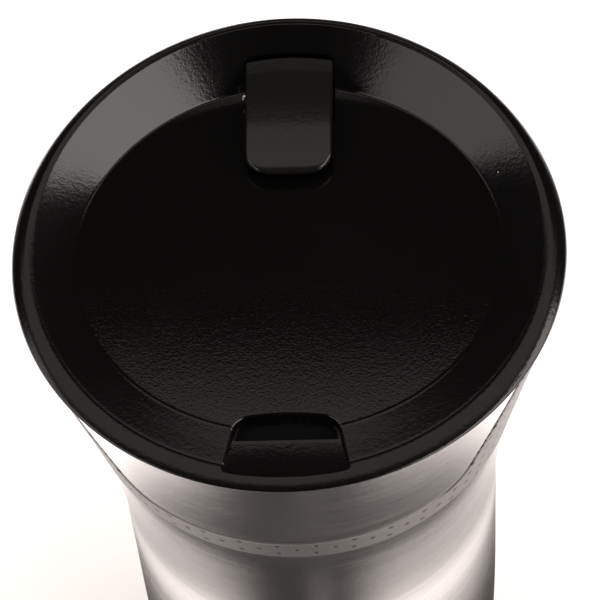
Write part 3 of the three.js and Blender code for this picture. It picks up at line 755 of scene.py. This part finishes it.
arm = [leaned(block(0, -33.4, 31, ARM_TOP - 2.2, ARM_TOP, 4.0, 0.4)),
       leaned(block(0, -33.4, -28.4, ARM_TOP - 2.2, ARM_TOP - 0.02, 7.2, 0.4)),
       crosswise(ARM_PIVOT[0], ARM_PIVOT[1], -4, 4, 2.1),
       upright(0, SPRING_Y, 183.8, ARM_TOP - 1, 2.2)]
mesh("arm_plastic", *join(*arm), LID_BLACK, "seal_arm", ["seal_arm"], "lid_black")
seal = [leaned(block(0, -34.2, -28.2, ARM_TOP + 0.3, ARM_TOP + 1.5, 7.8, 0.3)),
        upright(0, SEAL_Y, 184.6, ARM_TOP + 2.2, 1.5), upright(0, SEAL_Y, 184.6, 185.9, 2.3, 0.5)]
mesh("seal_silicone", *join(*seal), SILICONE, "seal_arm", ["drink_seal"], "silicone")

# the spring shortens with the arm; here it only gets a mesh of its own
spring = mesh("spring_wire", spring_v, spring_f, CHROME, "lid", ["return_spring"], "bright_steel", 60)
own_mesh(spring)


# ------------------------------------------------------------------ stage: floor, lights, camera

def emitter(name, strength, tint=(1.0, 0.93, 0.9)):
    n = Nodes(name)
    glow = n.put("ShaderNodeEmission")
    glow.inputs["Color"].default_value = (*tint, 1)
    glow.inputs["Strength"].default_value = strength
    return n, glow


def floor_plane(name, size, z, material):
    data = bpy.data.meshes.new(name)
    data.from_pydata([(-size, -size, z), (size, -size, z), (size, size, z), (-size, size, z)], [],
                     [[0, 1, 2, 3]])
    piece = bpy.data.objects.new(name, data)
    data.materials.append(material)
    bpy.context.scene.collection.objects.link(piece)
    return piece


white = Nodes("pale floor")
floor = floor_plane("floor", 4.0, 0.0, white.principled(Base_Color=(0.93, 0.92, 0.91, 1), Roughness=0.9))
floor.visible_glossy = False

# painted reflection: a glowing card, seen only in reflections, painted with what polished surfaces see at
# floor level: bright at the sides, a thin stripe in the middle, a ring of painted shadow round the mug,
# fading out behind it
card, glow = emitter("painted reflection card", 1.0)
_, axes = card.place()
distance = card.math("SQRT", card.math("ADD", card.math("MULTIPLY", axes[0], axes[0]),
                                       card.math("MULTIPLY", axes[1], axes[1])))
aside = card.remap(card.math("ABSOLUTE", card.math("ADD", axes[0], 0.006)), 0.024, 0.075, 0.0, 1.0,
                   smooth=True)
stripe = card.remap(card.math("ABSOLUTE", card.math("SUBTRACT", axes[0], 0.006)), 0.002, 0.014, 0.2, 0.0,
                    smooth=True)
# painted shadow: the card is dark in a ring round the mug, lifted a little close to its foot
clear = card.remap(distance, 0.07, 0.096, 0.0, 1.0, smooth=True)
near = card.remap(distance, 0.04, 0.054, 0.3, 0.0, smooth=True)
ahead = card.remap(distance, 0.06, 0.14, 0.0, 0.05, smooth=True)
far = card.remap(axes[1], 0.2, 0.5, 1.0, 0.05, smooth=True)
lit = card.math("ADD", card.math("MULTIPLY", card.math("ADD", aside, stripe), clear),
                card.math("ADD", ahead, near))
card.feed(glow.inputs["Strength"], card.math("MULTIPLY", card.math("ADD", card.math(
    "MULTIPLY", lit, 1.9), 0.02), far))
card.tree.links.new(glow.outputs[0], card.tree.nodes["Material Output"].inputs["Surface"])
card_plane = floor_plane("painted_reflection_card", 3.0, 0.0002, card.material)
# painted reflection: this glowing card is hidden from the camera, from diffuse light and from shadows
card_plane.visible_camera = False
card_plane.visible_diffuse = False
card_plane.visible_shadow = False
card_plane.visible_transmission = False


def softbox(name, azimuth, elevation, distance, width, height, radiance, tint=(1.0, 0.93, 0.9)):
    """Area light that faces the lid; azimuth 0 is the front, 90 is +X."""
    a, e = math.radians(azimuth), math.radians(elevation)
    toward = Vector((math.sin(a) * math.cos(e), -math.cos(a) * math.cos(e), math.sin(e)))
    data = bpy.data.lights.new(name, "AREA")
    data.shape = "RECTANGLE"
    data.size, data.size_y = width, height
    data.color = tint
    data.energy = radiance * math.pi * width * height
    lamp = bpy.data.objects.new(name, data)
    lamp.location = Vector((0, 0, 0.19)) + toward * distance
    lamp.rotation_mode = "QUATERNION"
    lamp.rotation_quaternion = toward.to_track_quat("Z", "Y")
    bpy.context.scene.collection.objects.link(lamp)
    return lamp


softbox("right box", 70, 27, 1.0, 1.12, 0.7, 3.7)
softbox("left box", -69, 25, 1.0, 1.05, 0.6, 1.5)
fill = softbox("floor fill", -40, 84, 1.5, 2.4, 2.4, 2.45)
fill.visible_glossy = False

world = bpy.data.worlds.new("studio")
bpy.context.scene.world = world
world.use_nodes = True
world.node_tree.nodes["Background"].inputs[0].default_value = (0.9, 0.86, 0.84, 1)
world.node_tree.nodes["Background"].inputs[1].default_value = 0.03

# camera: above the drink opening and a little to its right, looking down at the lid
VIEW_ELEVATION = math.radians(57.21)
VIEW_AZIMUTH = math.radians(4.8)
VIEW_ROLL = math.radians(5.43)
back = Vector((math.sin(VIEW_AZIMUTH) * math.cos(VIEW_ELEVATION),
               -math.cos(VIEW_AZIMUTH) * math.cos(VIEW_ELEVATION), math.sin(VIEW_ELEVATION)))
level = Vector((math.cos(VIEW_AZIMUTH), math.sin(VIEW_AZIMUTH), 0))
raised = back.cross(level)
right = level * math.cos(VIEW_ROLL) - raised * math.sin(VIEW_ROLL)
upward = raised * math.cos(VIEW_ROLL) + level * math.sin(VIEW_ROLL)
camera_data = bpy.data.cameras.new("camera")
camera_data.lens = 117.6
camera_data.sensor_width = 36.0
camera_data.clip_start, camera_data.clip_end = 0.01, 20.0
camera = bpy.data.objects.new("camera", camera_data)
camera.matrix_world = Matrix.Translation((0.0155, -0.172, 0.4441)) @ Matrix(
    (right, upward, back)).transposed().to_4x4()
bpy.context.scene.collection.objects.link(camera)
bpy.context.scene.camera = camera
bpy.context.scene.view_settings.view_transform = "Standard"


def overhead_panel(low, high, spread, radiance):
    """Soft panel behind the lid; its lower edge lies level across the lid's floor."""
    normal = Vector((0, FLOOR_SLOPE, 1)).normalized()
    focal = camera_data.lens / camera_data.sensor_width

    def mirrored(u, v):
        ray = (right * u + upward * v - back * focal).normalized()
        reach = (0.191 - camera.matrix_world.translation.z) / ray.z
        point = camera.matrix_world.translation + ray * reach
        return point + (ray - 2 * ray.dot(normal) * normal) * 1.1

    left_low, right_low = mirrored(-spread, low), mirrored(spread, low)
    top = (mirrored(-spread, high) + mirrored(spread, high)) / 2
    across = (right_low - left_low).normalized()
    middle = (left_low + right_low) / 2
    rise = top - middle
    rise -= across * rise.dot(across)
    data = bpy.data.lights.new("rear overhead", "AREA")
    data.shape = "RECTANGLE"
    data.size, data.size_y = 1.9, 0.75
    data.color = (1.0, 0.93, 0.9)
    data.energy = radiance * math.pi * data.size * data.size_y
    lamp = bpy.data.objects.new("rear overhead", data)
    rise.normalize()
    facing = across.cross(rise)
    if facing.z > 0:
        across, facing = -across, -facing
    lamp.matrix_world = Matrix.Translation(middle + rise * data.size_y / 2) @ Matrix(
        (across, rise, -facing)).transposed().to_4x4()
    bpy.context.scene.collection.objects.link(lamp)


overhead_panel(-0.134, -0.3, 0.3, 0.6)
